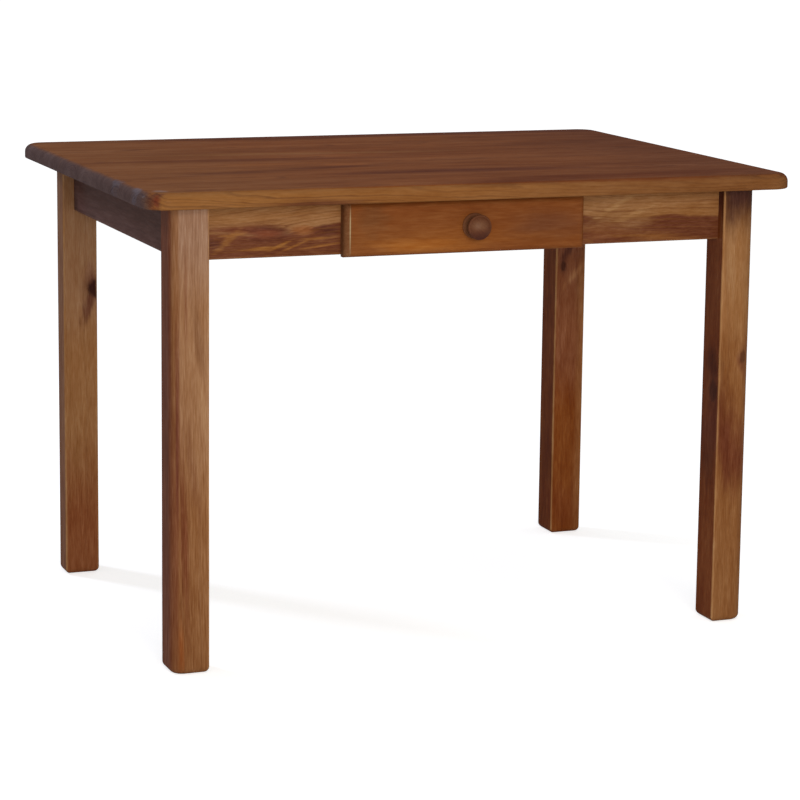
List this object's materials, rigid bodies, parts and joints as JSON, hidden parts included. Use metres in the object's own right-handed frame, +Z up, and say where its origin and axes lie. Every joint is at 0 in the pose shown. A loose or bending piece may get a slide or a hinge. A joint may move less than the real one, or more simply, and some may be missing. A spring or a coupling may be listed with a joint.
{
  "type": "dining table",
  "caption": "Rectangular solid-wood tavern table: four square legs, aprons and a shallow drawer with a turned wooden knob in the front apron.",
  "frame": {"origin": "on the floor under the middle of the tabletop", "axes": "+X along the table to the right as seen from the drawer side, +Y to the back, +Z up; the drawer opens towards -Y"},
  "size_m": [1.1, 0.8, 0.76],
  "materials": {
    "top_board_1": "pine, walnut stain, semi-gloss lacquer",
    "top_board_2": "pine, walnut stain, semi-gloss lacquer",
    "top_board_3": "pine, walnut stain, semi-gloss lacquer",
    "top_board_4": "pine, walnut stain, semi-gloss lacquer",
    "top_board_5": "pine, walnut stain, semi-gloss lacquer",
    "top_board_6": "pine, walnut stain, semi-gloss lacquer",
    "leg_front_left": "pine, walnut stain, semi-gloss lacquer",
    "leg_front_right": "pine, walnut stain, semi-gloss lacquer",
    "leg_back_left": "pine, walnut stain, semi-gloss lacquer",
    "leg_back_right": "pine, walnut stain, semi-gloss lacquer",
    "front_apron": "pine, walnut stain, semi-gloss lacquer",
    "back_apron": "pine, walnut stain, semi-gloss lacquer",
    "left_apron": "pine, walnut stain, semi-gloss lacquer",
    "right_apron": "pine, walnut stain, semi-gloss lacquer",
    "corner_block_front_left": "bare planed pine",
    "corner_block_front_right": "bare planed pine",
    "corner_block_back_left": "bare planed pine",
    "corner_block_back_right": "bare planed pine",
    "hanger_bolt_front_left": "zinc-plated steel",
    "hanger_bolt_front_right": "zinc-plated steel",
    "hanger_bolt_back_left": "zinc-plated steel",
    "hanger_bolt_back_right": "zinc-plated steel",
    "bolt_washer_front_left": "zinc-plated steel",
    "bolt_washer_front_right": "zinc-plated steel",
    "bolt_washer_back_left": "zinc-plated steel",
    "bolt_washer_back_right": "zinc-plated steel",
    "bolt_nut_front_left": "zinc-plated steel",
    "bolt_nut_front_right": "zinc-plated steel",
    "bolt_nut_back_left": "zinc-plated steel",
    "bolt_nut_back_right": "zinc-plated steel",
    "top_button_front_left": "bare planed pine",
    "top_button_front_right": "bare planed pine",
    "top_button_back_left": "bare planed pine",
    "top_button_back_right": "bare planed pine",
    "top_button_screw_front_left": "zinc-plated steel",
    "top_button_screw_front_right": "zinc-plated steel",
    "top_button_screw_back_left": "zinc-plated steel",
    "top_button_screw_back_right": "zinc-plated steel",
    "drawer_runner_left": "bare planed pine",
    "drawer_runner_right": "bare planed pine",
    "drawer_kicker_left": "bare planed pine",
    "drawer_kicker_right": "bare planed pine",
    "runner_dowel_front_left": "bare beech",
    "runner_dowel_front_right": "bare beech",
    "runner_dowel_back_left": "bare beech",
    "runner_dowel_back_right": "bare beech",
    "drawer_front": "pine, walnut stain, semi-gloss lacquer",
    "drawer_inner_front": "bare planed pine",
    "drawer_side_left": "bare planed pine",
    "drawer_side_right": "bare planed pine",
    "drawer_back": "bare planed pine",
    "drawer_bottom": "bare pine-faced plywood",
    "drawer_knob": "turned pine, walnut stain, semi-gloss lacquer",
    "knob_screw": "zinc-plated steel",
    "front_screw_left": "zinc-plated steel",
    "front_screw_right": "zinc-plated steel",
    "stop_button_screw": "zinc-plated steel",
    "stop_button": "bare beech"
  },
  "bodies": {
    "table": {"top_board_1": "top_board_1", "top_board_2": "top_board_2", "top_board_3": "top_board_3", "top_board_4": "top_board_4", "top_board_5": "top_board_5", "top_board_6": "top_board_6", "leg_front_left": "leg_front_left", "leg_front_right": "leg_front_right", "leg_back_left": "leg_back_left", "leg_back_right": "leg_back_right", "front_apron": "front_apron", "back_apron": "back_apron", "left_apron": "left_apron", "right_apron": "right_apron", "corner_block_front_left": "corner_block_front_left", "corner_block_front_right": "corner_block_front_right", "corner_block_back_left": "corner_block_back_left", "corner_block_back_right": "corner_block_back_right", "hanger_bolt_front_left": "hanger_bolt_front_left", "hanger_bolt_front_right": "hanger_bolt_front_right", "hanger_bolt_back_left": "hanger_bolt_back_left", "hanger_bolt_back_right": "hanger_bolt_back_right", "bolt_washer_front_left": "bolt_washer_front_left", "bolt_washer_front_right": "bolt_washer_front_right", "bolt_washer_back_left": "bolt_washer_back_left", "bolt_washer_back_right": "bolt_washer_back_right", "bolt_nut_front_left": "bolt_nut_front_left", "bolt_nut_front_right": "bolt_nut_front_right", "bolt_nut_back_left": "bolt_nut_back_left", "bolt_nut_back_right": "bolt_nut_back_right", "top_button_front_left": "top_button_front_left", "top_button_front_right": "top_button_front_right", "top_button_back_left": "top_button_back_left", "top_button_back_right": "top_button_back_right", "top_button_screw_front_left": "top_button_screw_front_left", "top_button_screw_front_right": "top_button_screw_front_right", "top_button_screw_back_left": "top_button_screw_back_left", "top_button_screw_back_right": "top_button_screw_back_right", "drawer_runner_left": "drawer_runner_left", "drawer_runner_right": "drawer_runner_right", "drawer_kicker_left": "drawer_kicker_left", "drawer_kicker_right": "drawer_kicker_right", "runner_dowel_front_left": "runner_dowel_front_left", "runner_dowel_front_right": "runner_dowel_front_right", "runner_dowel_back_left": "runner_dowel_back_left", "runner_dowel_back_right": "runner_dowel_back_right"},
    "drawer": {"drawer_front": "drawer_front", "drawer_inner_front": "drawer_inner_front", "drawer_side_left": "drawer_side_left", "drawer_side_right": "drawer_side_right", "drawer_back": "drawer_back", "drawer_bottom": "drawer_bottom", "drawer_knob": "drawer_knob", "knob_screw": "knob_screw", "front_screw_left": "front_screw_left", "front_screw_right": "front_screw_right", "stop_button_screw": "stop_button_screw"},
    "stop_button": {"stop_button": "stop_button"}
  },
  "joints": [
    {"name": "drawer_slide", "type": "slide", "parent": "table", "child": "drawer", "axis": [0, -1, 0], "range_m": [0, 0.356]},
    {"name": "stop_button_turn", "type": "hinge", "parent": "drawer", "child": "stop_button", "pos_m": [-0.016, 0.0432, 0.697], "axis": [0, 1, 0], "range_deg": [-90, 90]}
  ]
}
